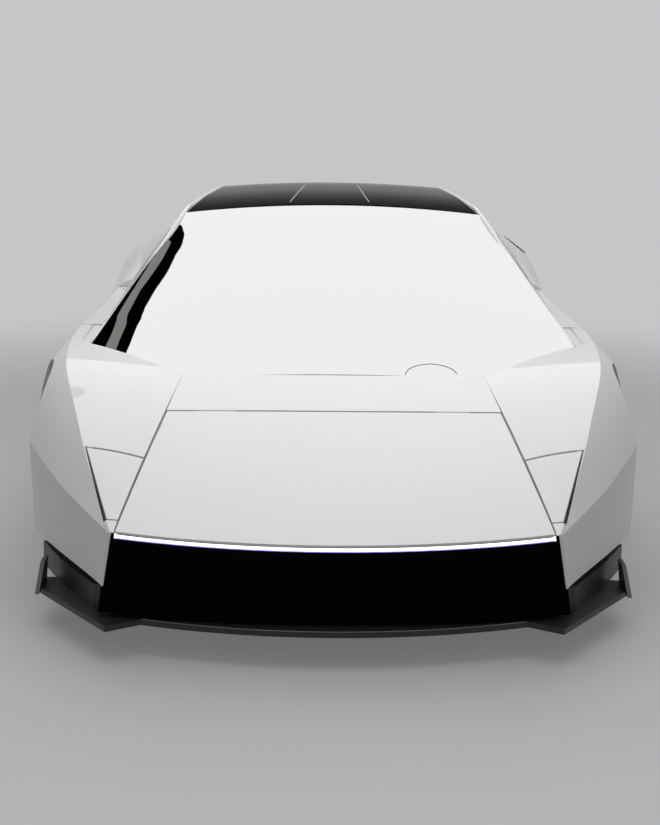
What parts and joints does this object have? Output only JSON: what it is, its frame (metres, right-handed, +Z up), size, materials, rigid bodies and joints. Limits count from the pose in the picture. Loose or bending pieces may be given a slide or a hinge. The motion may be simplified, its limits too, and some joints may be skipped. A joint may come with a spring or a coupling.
{
  "type": "supercar",
  "caption": "Low wedge-shaped supercar with a full-width front light, pop-up lamps, tilted doors, a louvred engine lid and steered, spinning wheels.",
  "frame": {"origin": "on the ground, under the middle of the car's length and width", "axes": "+Z up, the nose points along -Y, +X is the car's left side"},
  "size_m": [1.9986, 4.5998, 1.1318],
  "materials": {
    "body_paint": "gloss pearl white paint",
    "gloss_black": "gloss black",
    "satin_black": "satin black moulding",
    "structure": "dark composite",
    "front_light": "clear white light strip",
    "tail_light": "clear red lens",
    "screen_glass": "clear",
    "dark_glass": "tinted",
    "trim": "soft black trim",
    "grip": "smooth",
    "upholstery": "smooth",
    "engine_metal": "cast",
    "suspension_steel": "painted",
    "exhaust_steel": "brushed",
    "tyre": "rubber",
    "wheel_alloy": "satin dark alloy"
  },
  "bodies": {
    "chassis": {"floor_tub": "structure", "cowl_panel": "body_paint", "front_light_bar": "front_light", "front_mask": "gloss_black", "front_splitter": "satin_black", "lower_bumper": "satin_black", "front_wing_left": "body_paint", "front_wing_right": "body_paint", "windscreen": "screen_glass", "roof_rails": "body_paint", "roof_panel": "gloss_black", "vent_glass": "dark_glass", "rear_quarter_left": "body_paint", "rear_quarter_right": "body_paint", "rear_window": "dark_glass", "tail_panel": "body_paint", "rear_grille": "satin_black", "tail_light_bar": "tail_light", "rear_diffuser": "satin_black", "exhaust_tips": "exhaust_steel", "side_trim": "satin_black", "dashboard": "trim", "seat_left": "upholstery", "seat_right": "upholstery", "engine_block": "engine_metal", "suspension_arms": "suspension_steel"},
    "bonnet": {"bonnet": "body_paint"},
    "engine_lid": {"engine_lid": "body_paint"},
    "door_left": {"door_left": "body_paint", "side_glass_left": "dark_glass"},
    "door_right": {"door_right": "body_paint", "side_glass_right": "dark_glass"},
    "headlamp_left": {"headlamp_left": "body_paint"},
    "headlamp_right": {"headlamp_right": "body_paint"},
    "steering_wheel": {"steering_wheel": "grip"},
    "knuckle_left": {"front_knuckle_left": "suspension_steel"},
    "knuckle_right": {"front_knuckle_right": "suspension_steel"},
    "front_wheel_left": {"front_rim_left": "wheel_alloy", "front_tyre_left": "tyre"},
    "front_wheel_right": {"front_rim_right": "wheel_alloy", "front_tyre_right": "tyre"},
    "rear_wheel_left": {"rear_rim_left": "wheel_alloy", "rear_tyre_left": "tyre"},
    "rear_wheel_right": {"rear_rim_right": "wheel_alloy", "rear_tyre_right": "tyre"}
  },
  "joints": [
    {"name": "steer_left", "type": "hinge", "parent": "chassis", "child": "knuckle_left", "pos_m": [0.73, -1.25005, 0.312], "axis": [0, 0, 1], "range_deg": [-28, 28]},
    {"name": "front_wheel_left_spin", "type": "hinge", "parent": "knuckle_left", "child": "front_wheel_left", "pos_m": [0.778, -1.25005, 0.312], "axis": [1, 0, 0], "continuous": true},
    {"name": "rear_wheel_left_spin", "type": "hinge", "parent": "chassis", "child": "rear_wheel_left", "pos_m": [0.77, 1.40001, 0.34], "axis": [1, 0, 0], "continuous": true},
    {"name": "door_left_swing", "type": "hinge", "parent": "chassis", "child": "door_left", "pos_m": [0.9995, -0.76984, 0.43747], "axis": [0.3584, 0, -0.9336], "range_deg": [0, 65]},
    {"name": "headlamp_left_lift", "type": "hinge", "parent": "chassis", "child": "headlamp_left", "pos_m": [0.63, -1.85918, 0.50352], "axis": [-1, 0, 0], "range_deg": [0, 30]},
    {"name": "steer_right", "type": "hinge", "parent": "chassis", "child": "knuckle_right", "pos_m": [-0.73, -1.25005, 0.312], "axis": [0, 0, 1], "range_deg": [-28, 28]},
    {"name": "front_wheel_right_spin", "type": "hinge", "parent": "knuckle_right", "child": "front_wheel_right", "pos_m": [-0.778, -1.25005, 0.312], "axis": [1, 0, 0], "continuous": true},
    {"name": "rear_wheel_right_spin", "type": "hinge", "parent": "chassis", "child": "rear_wheel_right", "pos_m": [-0.77, 1.40001, 0.34], "axis": [1, 0, 0], "continuous": true},
    {"name": "door_right_swing", "type": "hinge", "parent": "chassis", "child": "door_right", "pos_m": [-0.9995, -0.76984, 0.43747], "axis": [0.3584, 0, 0.9336], "range_deg": [0, 65]},
    {"name": "headlamp_right_lift", "type": "hinge", "parent": "chassis", "child": "headlamp_right", "pos_m": [-0.63, -1.85918, 0.50352], "axis": [-1, 0, 0], "range_deg": [0, 30]},
    {"name": "bonnet_lift", "type": "hinge", "parent": "chassis", "child": "bonnet", "pos_m": [0, -1.58329, 0.55953], "axis": [-1, 0, 0], "range_deg": [0, 50]},
    {"name": "engine_lid_lift", "type": "hinge", "parent": "chassis", "child": "engine_lid", "pos_m": [0, 0.64569, 1.10807], "axis": [1, 0, 0], "range_deg": [0, 45]},
    {"name": "steering_wheel_turn", "type": "hinge", "parent": "chassis", "child": "steering_wheel", "pos_m": [0.36, -0.46989, 0.69998], "axis": [0, 0.9272, 0.3746], "range_deg": [-400, 400]}
  ],
  "couplings": [
    {"joint": "steer_right", "follows": "steer_left", "ratio": 1},
    {"joint": "steering_wheel_turn", "follows": "steer_left", "ratio": 14}
  ]
}
